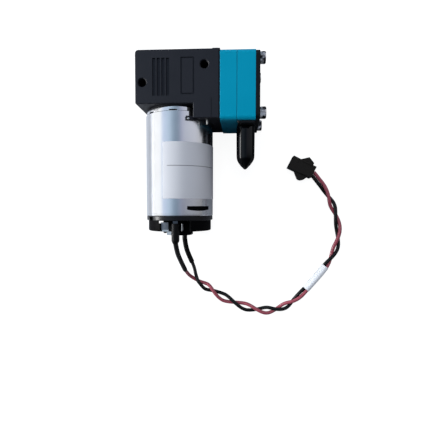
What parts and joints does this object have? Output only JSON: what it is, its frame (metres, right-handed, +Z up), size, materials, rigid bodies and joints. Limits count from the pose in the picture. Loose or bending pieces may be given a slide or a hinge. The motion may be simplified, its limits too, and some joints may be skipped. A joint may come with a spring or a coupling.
{
  "type": "diaphragm liquid pump",
  "caption": "Small diaphragm liquid pump: round electric motor on a crank housing, square teal pump head with capped hose connectors, twisted leads to a plug.",
  "frame": {"origin": "on the flat side face that the pump rests on, under the crossing of the motor's shaft and the pump head's axis", "axes": "+X along the pump head's axis towards its screws, +Y along the shaft from the motor to the crank housing, +Z up from the rest face"},
  "size_m": [0.0871, 0.1103, 0.0285],
  "materials": {
    "housing_plastic": "fine moulded matte, near-black blue",
    "head_plastic": "satin teal",
    "plate_black": "matte black",
    "cap_black": "glossy black",
    "vinyl_black": "very glossy soft vinyl",
    "can_steel": "bright zinc plating, drawn",
    "screw_steel": "bright, knurled rim",
    "shaft_steel": "ground",
    "bearing_steel": "polished",
    "core_steel": "stacked sheet",
    "bronze": "sintered bronze",
    "copper": "enamelled copper",
    "ferrite": "sintered, dark grey",
    "carbon": "pressed carbon",
    "tin": "tin-plated sheet",
    "eccentric_metal": "turned",
    "rod_plastic": "natural",
    "soft_rubber": "matte",
    "label_film": "plain white film",
    "sleeve_black": "satin heat-shrink",
    "sleeve_white": "plain white",
    "wire_red": "satin dusky red",
    "wire_black": "satin black"
  },
  "bodies": {
    "pump_body": {"housing": "housing_plastic", "motor_cradle": "housing_plastic", "access_cover": "housing_plastic", "motor_can": "can_steel", "motor_screws": "screw_steel", "front_bush": "bronze", "rear_bush": "bronze", "magnets": "ferrite", "end_cap": "cap_black", "terminals": "tin", "label": "label_film", "brushes": "carbon", "brush_arms": "tin", "diaphragm": "soft_rubber", "intermediate_plate": "head_plastic", "valve_sheet": "soft_rubber", "head_plate": "head_plastic", "hose_connectors": "head_plastic", "pressure_plate": "plate_black", "head_screws": "screw_steel", "sleeve_near": "sleeve_black", "sleeve_far": "sleeve_black", "red_lead": "wire_red", "black_lead": "wire_black", "twisted_pair": "wire_black", "marker_sleeve": "sleeve_white", "connector_housing": "cap_black", "connector_contacts": "tin"},
    "rotor": {"shaft": "shaft_steel", "rotor_core": "core_steel", "windings": "copper", "commutator": "copper", "shaft_spacers": "bronze", "eccentric": "eccentric_metal", "bearing_inner_ring": "bearing_steel"},
    "rod": {"connecting_rod": "rod_plastic", "bearing_outer_ring": "bearing_steel", "bearing_balls": "bearing_steel"},
    "inlet_flap": {"inlet_flap": "soft_rubber"},
    "outlet_flap": {"outlet_flap": "soft_rubber"},
    "near_cap": {"port_cap_near": "vinyl_black"},
    "far_cap": {"port_cap_far": "vinyl_black"}
  },
  "joints": [
    {"name": "shaft_spin", "type": "hinge", "parent": "pump_body", "child": "rotor", "pos_m": [0, 0, 0.01425], "axis": [0, 1, 0], "continuous": true, "deforming": ["diaphragm"]},
    {"name": "rod_turn", "type": "hinge", "parent": "rotor", "child": "rod", "pos_m": [-0.0012, 0, 0.01425], "axis": [0, 1, 0], "continuous": true},
    {"name": "inlet_flap_bend", "type": "hinge", "parent": "pump_body", "child": "inlet_flap", "pos_m": [0.02405, 0.00268, 0.01985], "axis": [0, 0, -1], "range_deg": [0, 15], "stiffness_Nm_per_rad": 0.000005},
    {"name": "outlet_flap_bend", "type": "hinge", "parent": "pump_body", "child": "outlet_flap", "pos_m": [0.02405, 0.00268, 0.00865], "axis": [0, 0, 1], "range_deg": [0, 15], "stiffness_Nm_per_rad": 0.000005},
    {"name": "near_cap_pull", "type": "slide", "parent": "pump_body", "child": "near_cap", "axis": [0, -1, 0], "range_m": [0, 0.012]},
    {"name": "far_cap_pull", "type": "slide", "parent": "pump_body", "child": "far_cap", "axis": [0, -1, 0], "range_m": [0, 0.012]}
  ],
  "couplings": [
    {"joint": "rod_turn", "follows": "shaft_spin", "ratio": -1}
  ]
}
